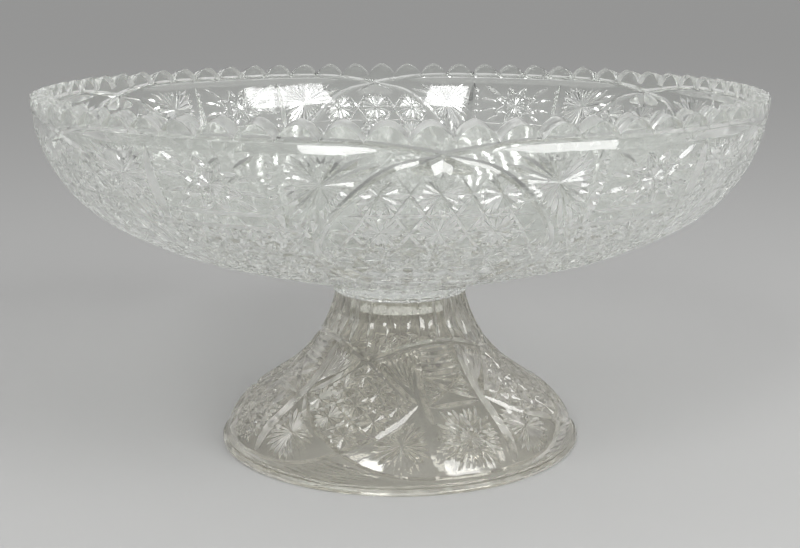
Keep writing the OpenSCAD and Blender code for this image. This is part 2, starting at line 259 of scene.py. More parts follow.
SEAT_GAP = 0.08
bowl_blank = turned("bowl_blank", (
    [(0, STAND_H - PLUG_H), (PLUG_R, STAND_H - PLUG_H), (PLUG_R, STAND_H)]
    + collar_out.points[:-1]
    + rows(bowl_out, COLLAR_EDGE_S, RIM_S, 34)
    + rows(bowl_in, bowl_in.walked[-1], 0, 22)
    + [(0, floor_z)]))
stand_blank = turned("stand_blank", (
    foot_edge
    + rows(stand_out, 2.7, NECK_S, 22)[:-1]
    + [(NECK_R, STAND_H - SEAT_GAP), (BORE_R, STAND_H - SEAT_GAP), (BORE_R, STAND_H - BORE_H)]
    + rows(stand_in, stand_in.walked[-1], 0, 20)))
for blank in (bowl_blank, stand_blank):
    bpy.context.scene.collection.objects.link(blank)
    print(blank.name, len(blank.data.polygons), "faces")

# %% [markdown]
# A mitre cut is a canoe: a V section that grows from nothing, runs deep and dies away again. Each cut is
# its own small closed mesh that follows the glass through a few stations. The wheel's V has the same
# slope everywhere, so a shallow end is also a narrow end, which is what makes the ends pointed.

# %% Make one cut
LIFT = 0.7      # how far a cutter stands out of the glass, mm


def cut(outline, path, width, depth, swell, right_share=0.5):
    """A V cut along a path of (angle, s) stations; swell gives each station's share of the full depth.

    The path is the bottom of the V, and right_share is how much of the width lies to its right."""
    slopes = (width * right_share / depth, width * (1 - right_share) / depth)
    points = []
    for i, (angle, s) in enumerate(path):
        here = on_glass(outline, angle, s)
        before = on_glass(outline, *path[max(i - 1, 0)])
        after = on_glass(outline, *path[min(i + 1, len(path) - 1)])
        out = (on_glass(outline, angle, s, 1.0) - here).normalized()
        side = (after - before).cross(out).normalized()
        right, left = (slope * (depth * swell[i] + LIFT) * MM for slope in slopes)
        points += [here + out * LIFT * MM + side * right, here - out * depth * swell[i] * MM,
                   here + out * LIFT * MM - side * left]
    faces = [(0, 1, 2), (len(points) - 1, len(points) - 2, len(points) - 3)]
    for i in range(0, len(points) - 3, 3):
        for a, b in ((0, 1), (1, 2), (2, 0)):
            faces.append((i + a, i + b, i + b + 3, i + a + 3))
    return mesh_object("cut", points, faces)


CANOE = (0.0, 0.75, 1.0, 0.75, 0.0)
SPOKE = (0.12, 0.6, 1.0, 0.0)


def stations(start, end, shares):
    return [(start[0] + (end[0] - start[0]) * t, start[1] + (end[1] - start[1]) * t) for t in shares]


def canoe(outline, start, end, width, depth):
    return cut(outline, stations(start, end, (0, 0.2, 0.5, 0.8, 1)), width, depth, CANOE)


def burst(outline, angle, s, spokes, reach, width, depth, hub=0.4, turn=0.0):
    """Spokes round a hub; reach(direction) gives each one's length in mm, directions clockwise from up."""
    made = []
    for k in range(spokes):
        way = turn + 360 * k / spokes
        length = reach(way)
        if length < 2.0:
            continue
        along = degrees(sin(radians(way)) / outline.at(s)[0])
        up = cos(radians(way))
        shares = (hub, length * 0.38, length * 0.72, length)
        path = [(angle + along * d, s + up * d) for d in shares]
        made.append(cut(outline, path, width, depth, SPOKE))
    return made


def band(outline, path, width, depth, ends=(1.0, 1.0)):
    swell = [ends[0]] + [1.0] * (len(path) - 2) + [ends[1]]
    return cut(outline, path, width, depth, swell)


# %% Smooth curves through a few chosen places
def through(knots, steps):
    """Catmull-Rom curve through knots of (angle, s), with so many steps in each span."""
    path = []
    for i in range(len(knots) - 1):
        a = knots[max(i - 1, 0)]
        b = knots[i]
        c = knots[i + 1]
        d = knots[min(i + 2, len(knots) - 1)]
        for k in range(steps):
            t = k / steps
            path.append(tuple(
                0.5 * (2 * b[j] + (c[j] - a[j]) * t + (2 * a[j] - 5 * b[j] + 4 * c[j] - d[j]) * t * t
                       + (3 * b[j] - a[j] - 3 * c[j] + d[j]) * t ** 3) for j in (0, 1)))
    return path + [knots[-1]]


# %% [markdown]
# The bowl's pattern repeats six times. Each repeat has a pointed oval filled with small stars and plain
# buttons, whose two borders cross under the rim and run on as the swags of the next ovals. On each side
# of it is a large burst, then a tall notched blade, and between two blades a hobstar. Under the swag runs
# a ledge that faces up, and the tip of the oval has two plain facets. Both are lopsided cuts: one flank of
# the V is steep and the other wide and gentle, so that it catches a window as one bright patch.

# %% The bowl: oval, swag and rim line
SECTORS = 6
SECTOR = 360 / SECTORS
OVAL = [(0, 123.1), (4.5, 120.9), (7.0, 118.6), (9.5, 114.5), (12.2, 108.5), (14.5, 102.5), (16.6, 93.5),
        (17.2, 86), (16.6, 75), (14.2, 60), (10.4, 45), (5.6, 33), (0, 26)]
SWAG = [(-0.9, 122.9), (0, 123.4), (3.5, 124.9), (7, 126.2), (10, 126.9), (15, 127.25), (30, 127.35)]
FIELD_TOP = 123.3
LEDGE = [(7.0, 124.6), (9.5, 125.4), (12.0, 125.75), (16.0, 125.85), (20.0, 125.85), (25.0, 125.85),
         (30.1, 125.85)]
LEDGE_SWELL = [0.0, 0.6, 1.0, 1.0, 1.0, 1.0, 1.0]
TIP_FACET = [(0.2, 122.6), (1.7, 121.2), (3.8, 119.2)]
TIP_SWELL = [0.85, 1.0, 0.4]
GENTLE_SHARE = 0.86     # of a lopsided cut's width, the part on its gentle flank


def oval_half(s):
    """Half the oval's width at s, in degrees."""
    for (a0, s0), (a1, s1) in zip(OVAL, OVAL[1:]):
        if s1 <= s <= s0:
            return a0 + (a1 - a0) * (s0 - s) / (s0 - s1)
    return 0.0


bowl_cuts = []
oval = through(OVAL, 3)
swag = through(SWAG, 3)
for side in (1, -1):
    turned_path = [(side * a, s) for a, s in oval]
    swell = [0.6 + 0.4 * min(a / 9, 1) for a, s in oval]
    bowl_cuts.append(cut(bowl_out, turned_path, 2.5, 0.9, swell))
    swell = [1.0 - 0.35 * min(abs(a) / 9, 1) for a, s in swag]
    bowl_cuts.append(cut(bowl_out, [(side * a, s) for a, s in swag], 2.4, 0.95, swell))
    for path, swell, width, depth in ((LEDGE, LEDGE_SWELL, 3.0, 1.05), (TIP_FACET, TIP_SWELL, 5.0, 3.0)):
        # walked from left to right on both sides, so that the gentle flank is always the lower one
        lopsided = [(side * a, s) for a, s in path][::side]
        bowl_cuts.append(cut(bowl_out, lopsided, width, depth, swell[::side], GENTLE_SHARE))
print("bowl bands:", len(bowl_cuts))

# %% The bowl: stars, buttons and mitre lines inside the oval
STAR_PITCH = 7.8       # degrees between star columns
ROW_PITCH = 13.9       # mm between star rows
TOP_ROW = 111.4


def star_size(s):
    """The length of a small star's rays at s, where its neighbours leave it less and less room."""
    return min(7.4, 0.5 * radians(STAR_PITCH) * bowl_out.at(s)[0])


def inside_oval(angle, s, margin):
    return abs(angle) < oval_half(s) - margin


def clipped(start, end, keep, step=1.0):
    """The longest stretch of a straight line on which keep(angle, s) holds."""
    n = max(int(hypot((end[0] - start[0]) * 2, end[1] - start[1]) / step), 2)
    places = stations(start, end, [i / n for i in range(n + 1)])
    best = []
    run = []
    for p in places:
        run = run + [p] if keep(*p) else []
        best = max(best, run, key=len)
    return (best[0], best[-1]) if len(best) > 3 else None


def line_cut(outline, start, end, keep, width, depth, n=9):
    """A straight V cut in n steps, where keep(angle, s) holds."""
    ends = clipped(start, end, keep)
    if not ends:
        return []
    path = stations(*ends, [i / n for i in range(n + 1)])
    return [cut(outline, path, width, depth, [0.0] + [1.0] * (n - 1) + [0.0])]


def star_reach(keep, outline, angle, s, most):
    """How far each spoke may go before keep(angle, s) fails."""
    def reach(way):
        d = 1.0
        while d < most:
            a = angle + degrees(sin(radians(way)) * d / outline.at(s)[0])
            if not keep(a, s + cos(radians(way)) * d):
                break
            d += 0.4
        return d
    return reach


LATTICE_TOP = 118.2     # above it the oval's tip holds two plain facets


def in_oval(a, s):
    return inside_oval(a, s, 0.55) and s < LATTICE_TOP


before_lattice = len(bowl_cuts)
for row in range(7):
    s = TOP_ROW - ROW_PITCH * row
    for column in (-2, -1, 0, 1, 2):
        a = STAR_PITCH * column
        if inside_oval(a, s, 1.0):
            reach = star_reach(in_oval, bowl_out, a, s, star_size(s))
            bowl_cuts += burst(bowl_out, a, s, 16, reach, 2.0, 1.05)
    bowl_cuts += line_cut(bowl_out, (-20, s), (20, s), in_oval, 1.2, 0.6, 8)
    middle = s - ROW_PITCH / 2
    bowl_cuts += line_cut(bowl_out, (-20, middle), (20, middle), in_oval, 1.1, 0.55, 8)
LEAN = STAR_PITCH / 2 / ROW_PITCH
for column in range(-14, 15):
    for side in (1, -1):
        top_a = column * STAR_PITCH / 2
        start = (top_a + side * LEAN * (124 - TOP_ROW), 124)
        end = (top_a - side * LEAN * (TOP_ROW - 24), 24)
        bowl_cuts += line_cut(bowl_out, start, end, in_oval, 1.2, 0.65, 8)
print("lattice cuts:", len(bowl_cuts) - before_lattice)

# %% The bowl: bursts, blades and hobstars beside the oval
BURST_AT = (15.1, 114.3)
BLADE_AT = 20.7
PANEL_AT = 30.0


def in_burst_field(a, s):
    a = abs(a)
    beside_blade = a < BLADE_AT - 0.9 - 0.02 * abs(s - 112)
    return oval_half(s) + 0.75 < a and s < FIELD_TOP - 0.4 and (beside_blade or s < 99)


def in_panel(a, s):
    return BLADE_AT + 1.1 < abs(a) < SECTOR - BLADE_AT - 1.1 and 104.3 < s < FIELD_TOP - 0.4


before_sides = len(bowl_cuts)
for side in (1, -1):
    a, s = BURST_AT

    def on_this_side(x, y):
        return in_burst_field(x, y) and x * side > 0

    reach = star_reach(on_this_side, bowl_out, side * a, s, 18.0)
    bowl_cuts += burst(bowl_out, side * a, s, 26, reach, 2.5, 1.1, hub=0.5)
    blade = [(side * BLADE_AT, y) for y in (124.4, 120, 114, 108, 102, 97.5)]
    bowl_cuts.append(cut(bowl_out, blade, 5.0, 1.3, (0.0, 0.6, 0.95, 1.0, 0.7, 0.0)))
    for k in range(6):
        y = 120.0 - 3.4 * k
        notch_start = (side * (BLADE_AT - 0.1), y)
        bowl_cuts.append(canoe(bowl_out, notch_start, (side * (BLADE_AT + 1.25), y), 2.4, 1.3))

s = 113.0
bowl_cuts += burst(bowl_out, PANEL_AT, s, 16, lambda way: 5.0, 1.6, 0.7)
for k in range(8):
    way = 45 * k + 22.5
    r_here = bowl_out.at(s)[0]
    tip = (PANEL_AT + degrees(sin(radians(way)) * 10.6 / r_here), s + cos(radians(way)) * 9.4)
    for turn in (-1, 1):
        root_way = way + turn * 22.5
        root = (PANEL_AT + degrees(sin(radians(root_way)) * 5.4 / r_here), s + cos(radians(root_way)) * 5.2)
        bowl_cuts.append(canoe(bowl_out, root, tip, 1.6, 0.8))
    heart = (PANEL_AT + degrees(sin(radians(way)) * 5.2 / r_here), s + cos(radians(way)) * 5.0)
    bowl_cuts.append(canoe(bowl_out, heart, tip, 1.2, 0.5))
for k in range(16):
    way = 22.5 * k + 11.25

    def spot(reach):
        return PANEL_AT + degrees(sin(radians(way)) * reach / r_here), s + cos(radians(way)) * reach * 0.93

    reach = 11.0
    while reach < 21 and in_panel(*spot(reach + 1)):
        reach += 0.5
    if reach > 12:
        bowl_cuts.append(canoe(bowl_out, spot(9.0), spot(reach), 2.0, 0.85))
bowl_cuts += line_cut(bowl_out, (21.6, 103.4), (38.4, 103.4), lambda a, y: True, 1.6, 0.8)
print("side cuts:", len(bowl_cuts) - before_sides)

# %% The bowl: the field below the bursts and hobstars
def in_low_field(a, s):
    return oval_half(s) + 0.8 < abs(a) < SECTOR - oval_half(s) - 0.8 and 27 < s < 102.6


before_low = len(bowl_cuts)
for row in range(5):
    s = TOP_ROW - ROW_PITCH * (row + 1.5)
    for column in (-1, 0, 1):
        a = PANEL_AT + STAR_PITCH * column
        if in_low_field(a - 1.5, s) and in_low_field(a + 1.5, s):
            reach = star_reach(in_low_field, bowl_out, a, s, star_size(s))
            bowl_cuts += burst(bowl_out, a, s, 12, reach, 2.7, 1.0)
    bowl_cuts += line_cut(bowl_out, (14, s), (46, s), in_low_field, 3.2, 1.45, 8)
    middle = s + ROW_PITCH / 2
    bowl_cuts += line_cut(bowl_out, (14, middle), (46, middle), in_low_field, 3.0, 1.4, 8)
for column in range(-9, 10):
    for side in (1, -1):
        top_a = PANEL_AT + column * STAR_PITCH / 2
        start = (top_a + side * LEAN * 7, 104.4)
        end = (top_a - side * LEAN * 70, 27.4)
        bowl_cuts += line_cut(bowl_out, start, end, in_low_field, 2.0, 0.95, 8)
for k in range(8):
    a = SECTOR * (k + 0.5) / 8
    bowl_cuts.append(canoe(bowl_out, (a, 1.5), (a, 22.5 - 2.0 * abs(k - 3.5) + 6), 3.2, 0.8))
print("low field cuts:", len(bowl_cuts) - before_low)

# %% [markdown]
# The rim is a row of 66 round arches. Each notch between two arches is one cut with two hollow sides, and
# it slopes outward, so that an arch's top is a bevel seen from the front.

# %% The rim's notches and the collar's flutes
ARCHES = 66
ARCH_DEPTH = 5.0
ARCH_SLOPE = 14.0
ARCH_RIDGE = 8.0
NOTCH_TURN = 1.4        # degrees from a crossing to the nearest notch
COLLAR_FLUTES = 32


def notch(angle):
    half = RIM_R * sin(pi / ARCHES)
    lean = ARCH_DEPTH * ray(ARCH_RIDGE)[0] - half * ray(ARCH_RIDGE)[1]
    arch_r = (half ** 2 + ARCH_DEPTH ** 2) / (2 * lean)
    centre_x = half + arch_r * ray(ARCH_RIDGE)[1]
    centre_y = -arch_r * ray(ARCH_RIDGE)[0]
    reach = half + 0.5 * (centre_x - half)
    steps = 9
    cusp = atan2(-ARCH_DEPTH - centre_y, -centre_x)
    top = atan2(sqrt(arch_r ** 2 - (reach - centre_x) ** 2), reach - centre_x)
    side = [(centre_x + arch_r * cos(cusp + (top - cusp) * k / steps),
             centre_y + arch_r * sin(cusp + (top - cusp) * k / steps)) for k in range(steps + 1)]
    lid = 3.0
    ring = [(-x, y) for x, y in side[:0:-1]] + side + [(reach, lid), (-reach, lid)]
    points = []
    for along in (-1.5, WALL + 1.5):
        for x, y in ring:
            r = RIM_R - WALL + along * ray(ARCH_SLOPE)[0] + y * ray(ARCH_SLOPE)[1]
            z = rim_z - along * ray(ARCH_SLOPE)[1] + y * ray(ARCH_SLOPE)[0]
            a = radians(angle)
            points.append(Vector((r * sin(a) + x * cos(a), -r * cos(a) + x * sin(a), z)) * MM)
    n = len(ring)
    faces = [tuple(range(n)), tuple(range(2 * n - 1, n - 1, -1))]
    faces += [(k, (k + 1) % n, n + (k + 1) % n, n + k) for k in range(n)]
    return mesh_object("notch", points, faces)


def flute(outline, path, width, depth, swell):
    """A round-bottomed groove; swell gives each station's share of the full width and depth."""
    arch = [(cos(pi * k / 8), -depth * sin(pi * k / 8)) for k in range(9)]
    section = [(1.0, LIFT)] + arch + [(-1.0, LIFT)]
    points = []
    for i, (angle, s) in enumerate(path):
        here = on_glass(outline, angle, s)
        out = (on_glass(outline, angle, s, 1.0) - here).normalized()
        ahead = on_glass(outline, *path[min(i + 1, len(path) - 1)])
        behind = on_glass(outline, *path[max(i - 1, 0)])
        across = (ahead - behind).cross(out).normalized()
        points += [here + (across * x * width / 2 + out * y) * swell[i] * MM for x, y in section]
    n = len(section)
    faces = [tuple(range(n)), tuple(range(len(points) - 1, len(points) - n - 1, -1))]
    for i in range(len(path) - 1):
        low = i * n
        high = low + n
        faces += [(low + k, low + (k + 1) % n, high + (k + 1) % n, high + k) for k in range(n)]
    return mesh_object("flute", points, faces)


for k in range(ARCHES // SECTORS):
    bowl_cuts.append(notch(NOTCH_TURN + 360 / ARCHES * k))
collar_width = 2 * COLLAR_TOP_R * sin(pi / COLLAR_FLUTES)
collar_path = [(0.0, s) for s in (1.0, 1.25, 1.8, 2.6, 3.6, 4.6, 5.6, 6.8)]
collar_cut = flute(collar_out, collar_path, collar_width, 1.2, (0.1, 0.5, 0.85, 1, 1, 1, 1, 1))
print("bowl cuts in one sector:", len(bowl_cuts))

# %% [markdown]
# The stand repeats four times. A lozenge of small stars stands on its point in each repeat; its borders
# cross above and below and run on as swags. Between two lozenges, two leaning bars hold a ladder of
# notches, an hourglass and a hobstar, with a burst outside each bar, and flutes run up the neck.

# %% The stand: borders, swags and bars
PANELS = 4
PANEL = 360 / PANELS
LOZENGE = [(0, 52.5), (8, 49.0), (16, 43.8), (22, 39.2), (28.6, 34.8), (21, 27.5), (12, 20.5), (0, 13.6)]
UPPER_SWAG = [(-1.2, 51.9), (0, 52.5), (10, 54.8), (22, 57.4), (34, 58.7), (45, 59.1)]
LOWER_SWAG = [(-1.5, 14.5), (0, 13.6), (8, 9.6), (17, 6.9), (28, 5.7), (45, 5.3)]
BAR = [(28.8, 56.5), (29.5, 46), (30.3, 35), (31.2, 22), (32.0, 7.5)]

stand_cuts = []
for side in (1, -1):
    edge = [(side * a, s) for a, s in LOZENGE]
    stand_cuts.append(band(stand_out, edge[:5], 2.8, 0.9, (1.0, 0.3)))
    stand_cuts.append(band(stand_out, edge[4:], 2.8, 0.9, (0.3, 1.0)))
    stand_cuts.append(band(stand_out, [(side * a, s) for a, s in through(UPPER_SWAG, 2)], 2.2, 0.8))
    stand_cuts.append(band(stand_out, [(side * a, s) for a, s in through(LOWER_SWAG, 2)], 2.4, 0.8))
    stand_cuts.append(band(stand_out, [(side * a, s) for a, s in through(BAR, 2)], 4.6, 1.2, (0.3, 0.5)))
for y in (2.9, 4.0):
    stand_cuts.append(band(stand_out, [(45 + 7.5 * (k - 6), y) for k in range(13)], 0.55, 0.25))
print("stand bands:", len(stand_cuts))

# %% The stand: lozenge, bursts, hobstar, ladder, hourglass and fans
def lozenge_half(s):
    for (a0, s0), (a1, s1) in zip(LOZENGE, LOZENGE[1:]):
        if s1 <= s <= s0:
            return a0 + (a1 - a0) * (s0 - s) / (s0 - s1)
    return 0.0


def bar_at(s):
    for (a0, s0), (a1, s1) in zip(BAR, BAR[1:]):
        if s1 <= s <= s0:
            return a0 + (a1 - a0) * (s0 - s) / (s0 - s1)
    return BAR[0][0] if s > BAR[0][1] else BAR[-1][0]


def in_lozenge(a, s):
    return abs(a) < lozenge_half(s) - 2.0


def in_corner(a, s):
    """Below a lozenge, inside the bar and above the lower swag."""
    swag_s = 5.7 + max(0.0, 22 - abs(a)) ** 2 * 0.017
    return lozenge_half(s) + 2.2 < abs(a) < bar_at(s) - 2.0 and s > swag_s + 1.2 and s < 36


def at_share(u, v):
    """A place in the lozenge: u runs from the top to the right corner, v from the top to the left one."""
    top, right, bottom = LOZENGE[0], LOZENGE[4], LOZENGE[-1]
    a = right[0] * (u - v)
    s = top[1] + (right[1] - top[1]) * (u + v) + (bottom[1] - 2 * right[1] + top[1]) * u * v
    return a, s


for i in range(3):
    for j in range(3):
        a, s = at_share((i + 0.5) / 3, (j + 0.5) / 3)
        reach = star_reach(in_lozenge, stand_out, a, s, 6.0)
        stand_cuts += burst(stand_out, a, s, 14, reach, 2.2, 0.85)
for k in (1 / 3, 2 / 3):
    for a, b in ((at_share(k, 0), at_share(k, 1)), (at_share(0, k), at_share(1, k))):
        stand_cuts += line_cut(stand_out, a, b, in_lozenge, 1.3, 0.6)
for i in range(2):
    for j in range(2):
        a, s = at_share((i + 1) / 3, (j + 1) / 3)
        stand_cuts += burst(stand_out, a, s, 8, lambda way: 2.8, 1.3, 0.5, turn=22.5)
for side in (1, -1):
    a, s = 20.5, 18.4

    def in_this_corner(x, y):
        return in_corner(x, y) and x * side > 0

    reach = star_reach(in_this_corner, stand_out, side * a, s, 11.0)
    stand_cuts += burst(stand_out, side * a, s, 24, reach, 2.6, 1.0, 0.5)
    for k in range(7):
        foot = (side * 27.6, 37.2 + 0.6 * k)
        tip = (side * (26.8 - 3.1 * k), 57.0 - 0.55 * k - 0.05 * k * k)
        fan_ray = stations(foot, tip, (0, 0.25, 0.6, 0.85, 1))
        stand_cuts.append(cut(stand_out, fan_ray, 2.4, 0.9, (0, 0.45, 0.9, 1, 0)))

for k in range(6):
    sweep = [(-3.5 - 3.4 * k, 10.6 - 0.9 * k), (3.0 - 1.6 * k, 9.4 - 1.1 * k),
             (12 - 0.5 * k, 7.0 - 0.55 * k), (24.0 + 1.5 * k, 4.9 - 0.1 * k)]
    path = through(sweep, 4)
    swell = [sin(pi * min(i / 12 * 0.9 + 0.1, 1)) ** 0.5 for i in range(13)]
    stand_cuts.append(cut(stand_out, path, 1.9, 0.6, [0.0] + swell[1:-1] + [0.0]))

PANEL_MID = 45.0
for k in range(5):
    y = 56.9 - 2.5 * k
    stand_cuts.append(canoe(stand_out, (PANEL_MID - 12.5, y), (PANEL_MID + 12.5, y), 2.4, 0.8))
for side in (1, -1):
    upper_end = (PANEL_MID - side * 13.4, 46.4)
    stand_cuts.append(canoe(stand_out, upper_end, (PANEL_MID + side * 12.6, 34.4), 2.2, 0.9))
    for k in range(5):
        y = 44.6 - 1.9 * k
        near = PANEL_MID + side * (3.2 + 1.8 * abs(k - 2))
        for lean in (-1, 1):
            hatch_end = (PANEL_MID + side * 12.0, y + lean * 2.4)
            stand_cuts.append(canoe(stand_out, (near, y), hatch_end, 0.55, 0.28))
stand_cuts.append(canoe(stand_out, (PANEL_MID - 13, 33.6), (PANEL_MID + 13, 33.6), 2.4, 0.9))
HOBSTAR_S = 19.0
r_here = stand_out.at(HOBSTAR_S)[0]


def from_hobstar(way, reach):
    """The place at a distance from the hobstar's heart, in a direction clockwise from up."""
    return PANEL_MID + degrees(sin(radians(way)) * reach / r_here), HOBSTAR_S + cos(radians(way)) * reach


def in_hobstar_panel(a, s):
    return PANEL_MID - 45 + bar_at(s) + 2.6 < a < PANEL_MID + 45 - bar_at(s) - 2.6 and 7.6 < s < 32.0


stand_cuts += burst(stand_out, PANEL_MID, HOBSTAR_S, 16, lambda way: 5.2, 1.8, 0.8)
for k in range(8):
    way = 45 * k
    tip = from_hobstar(way, 11.0)
    for turn in (-1, 1):
        stand_cuts.append(canoe(stand_out, from_hobstar(way + turn * 22.5, 5.0), tip, 1.9, 0.9))
    stand_cuts.append(canoe(stand_out, from_hobstar(way, 5.0), tip, 1.2, 0.5))
for k in range(8):
    way = 45 * k + 22.5
    reach = 9.0
    while reach < 19 and in_hobstar_panel(*from_hobstar(way, reach + 1)):
        reach += 0.5
    stand_cuts.append(canoe(stand_out, from_hobstar(way, 6.5), from_hobstar(way, reach), 2.0, 0.8))
# Rays of glass fill the panel's corners, because a plain corner would mirror a whole window
for k in range(16):
    way = 22.5 * k + 11.25
    reach = 9.0
    while reach < 17 and in_hobstar_panel(*from_hobstar(way, reach + 0.6)):
        reach += 0.4
    if reach > 10:
        stand_cuts.append(canoe(stand_out, from_hobstar(way, 6.8), from_hobstar(way, reach), 1.8, 0.8))

NECK_FLUTES = 24
for k in range(NECK_FLUTES // PANELS):
    a = 360 / NECK_FLUTES * k
    low = 54.2 + 5.6 * abs(sin(radians(2 * a)))
    path = [(a, low + (NECK_S + 1.0 - low) * t) for t in (0, 0.04, 0.12, 0.3, 0.5, 0.75, 1)]
    stand_cuts.append(flute(stand_out, path, 5.4, 1.0, (0.2, 0.65, 0.9, 1, 1, 1, 1)))
print("stand cuts in one panel:", len(stand_cuts))

# %% [markdown]
# Glass: clear soda-lime, pressed and then fire-polished, so its surface is smooth but never dead flat. The
# moulds leave a soft waviness a few millimetres long and a finer orange-peel, which break up reflections.
# The bowl's melt is faintly cool and the stand's faintly warm, as iron and its decoloriser leave them.

# %% Glass materials
def to_linear(hex_colour):
    values = [int(hex_colour[i:i + 2], 16) / 255 for i in (1, 3, 5)]
    return [v / 12.92 if v <= 0.04045 else ((v + 0.055) / 1.055) ** 2.4 for v in values] + [1.0]


def node(tree, kind, links=(), **settings):
    """Adds a node, sets its properties and inputs, and links (input name, output socket) pairs."""
    made = tree.nodes.new(kind)
    for key, value in settings.items():
        if hasattr(made, key):
            setattr(made, key, value)
        else:
            made.inputs[key.replace("_", " ")].default_value = value
    for name, socket in links:
        tree.links.new(socket, made.inputs[name])
    return made


GLASS_IOR = 1.52
WAVE_MM = 7.0
PEEL_MM = 1.6
CLEAR_SHARE = 0.97      # the rest is a faint milky scatter
SHADOW_TINT = "#989898" # what one face of glass lets through to a shadow


def pressed_glass(name, tint, roughness):
    material = bpy.data.materials.new(name)
    material.use_nodes = True
    tree = material.node_tree
    tree.nodes.clear()
    place = node(tree, "ShaderNodeTexCoord")
    wave = node(tree, "ShaderNodeTexNoise", [("Vector", place.outputs["Object"])],
                Scale=1 / (WAVE_MM * MM), Detail=1.0, Roughness=0.4)
    peel = node(tree, "ShaderNodeTexNoise", [("Vector", place.outputs["Object"])],
                Scale=1 / (PEEL_MM * MM), Detail=2.0, Roughness=0.5)
    soft = node(tree, "ShaderNodeBump", [("Height", wave.outputs[0])], Strength=0.12, Distance=0.4 * MM)
    fine = node(tree, "ShaderNodeBump", [("Height", peel.outputs[0]), ("Normal", soft.outputs[0])],
                Strength=0.08, Distance=0.1 * MM)
    shader = node(tree, "ShaderNodeBsdfPrincipled", [("Normal", fine.outputs[0])],
                  Base_Color=to_linear(tint), IOR=GLASS_IOR, Roughness=roughness,
                  Transmission_Weight=CLEAR_SHARE)
    passed = node(tree, "ShaderNodeBsdfTransparent", Color=to_linear(SHADOW_TINT))
    light = node(tree, "ShaderNodeLightPath")
    either = node(tree, "ShaderNodeMixShader", [("Fac", light.outputs["Is Shadow Ray"])])
    tree.links.new(shader.outputs[0], either.inputs[1])
    tree.links.new(passed.outputs[0], either.inputs[2])
    node(tree, "ShaderNodeOutputMaterial", [("Surface", either.outputs[0])])
    return material


bowl_glass = pressed_glass("cool_pressed_glass", "#f8faf7", 0.05)
stand_glass = pressed_glass("warm_pressed_glass", "#f2f0e8", 0.05)
print("materials:", bowl_glass.name, stand_glass.name)

# %% [markdown]
# Geometry Nodes take the cuts out. The tree copies the cuts of one sector round the axis, subtracts them
# all from the blank with the Manifold solver, which takes each instance as a solid of its own, and sets
# the glass. Cutting by hand with one modifier per cut would be thousands of modifiers.

# %% A tree that cuts a pattern round a blank
def cutting_tree():
    tree = bpy.data.node_groups.new("cut_round_the_axis", "GeometryNodeTree")
    face = tree.interface
    face.new_socket("Blank", in_out="INPUT", socket_type="NodeSocketGeometry")
    face.new_socket("Cuts", in_out="INPUT", socket_type="NodeSocketCollection")
    face.new_socket("Sectors", in_out="INPUT", socket_type="NodeSocketInt")
    face.new_socket("First angle", in_out="INPUT", socket_type="NodeSocketFloat")
    face.new_socket("Glass", in_out="INPUT", socket_type="NodeSocketMaterial")
    face.new_socket("Geometry", in_out="OUTPUT", socket_type="NodeSocketGeometry")
    given = node(tree, "NodeGroupInput")
    cuts = node(tree, "GeometryNodeCollectionInfo", [("Collection", given.outputs["Cuts"])],
                Separate_Children=True)
    copies = node(tree, "GeometryNodeDuplicateElements",
                  [("Geometry", cuts.outputs[0]), ("Amount", given.outputs["Sectors"])], domain="INSTANCE")
    part = node(tree, "ShaderNodeMath", operation="DIVIDE")
    part.inputs[0].default_value = 2 * pi
    tree.links.new(given.outputs["Sectors"], part.inputs[1])
    turn = node(tree, "ShaderNodeMath", operation="MULTIPLY_ADD")
    tree.links.new(copies.outputs["Duplicate Index"], turn.inputs[0])
    tree.links.new(part.outputs[0], turn.inputs[1])
    tree.links.new(given.outputs["First angle"], turn.inputs[2])
    spin = node(tree, "ShaderNodeCombineXYZ", [("Z", turn.outputs[0])])
    round_axis = node(tree, "GeometryNodeRotateInstances",
                      [("Instances", copies.outputs["Geometry"]), ("Rotation", spin.outputs[0])],
                      Local_Space=False)
    carve = node(tree, "GeometryNodeMeshBoolean", operation="DIFFERENCE", solver="MANIFOLD")
    tree.links.new(given.outputs["Blank"], carve.inputs["Mesh 1"])
    tree.links.new(round_axis.outputs[0], carve.inputs["Mesh 2"])
    real = node(tree, "GeometryNodeRealizeInstances", [("Geometry", carve.outputs[0])])
    glazed = node(tree, "GeometryNodeSetMaterial",
                  [("Geometry", real.outputs[0]), ("Material", given.outputs["Glass"])])
    node(tree, "NodeGroupOutput", [("Geometry", glazed.outputs[0])])
    return tree


def carved(name, blank, cuts, sectors, first_angle, glass):
    """Runs the tree on a blank and returns the finished glass as a plain mesh object."""
    shelf = bpy.data.collections.new(name + "_cuts")
    bpy.context.scene.collection.children.link(shelf)
    for c in cuts:
        shelf.objects.link(c)
    work = blank.modifiers.new("cutting", "NODES")
    work.node_group = tree = cutting_tree()
    inputs = {"Cuts": shelf, "Sectors": sectors, "First angle": radians(first_angle), "Glass": glass}
    for item in tree.interface.items_tree:
        if item.name in inputs:
            work[item.identifier] = inputs[item.name]
    bpy.context.view_layer.update()
    seen = blank.evaluated_get(bpy.context.evaluated_depsgraph_get())
    mesh = bpy.data.meshes.new_from_object(seen)
    blank.modifiers.clear()
    for c in cuts:
        bpy.data.objects.remove(c)
    bpy.data.collections.remove(shelf)
    bpy.data.objects.remove(blank)
    made = bpy.data.objects.new(name, mesh)
    bpy.context.scene.collection.objects.link(made)
    return made


BOWL_TURN = 5.2
STAND_TURN = -20.0
fluted = carved("fluted_bowl", bowl_blank, [collar_cut], COLLAR_FLUTES, 0.0, bowl_glass)
bowl = carved("cut_bowl", fluted, bowl_cuts, SECTORS, BOWL_TURN, bowl_glass)
stand = carved("cut_stand", stand_blank, stand_cuts, PANELS, STAND_TURN, stand_glass)
for piece in (bowl, stand):
    print(piece.name, len(piece.data.vertices), "points", len(piece.data.polygons), "faces")

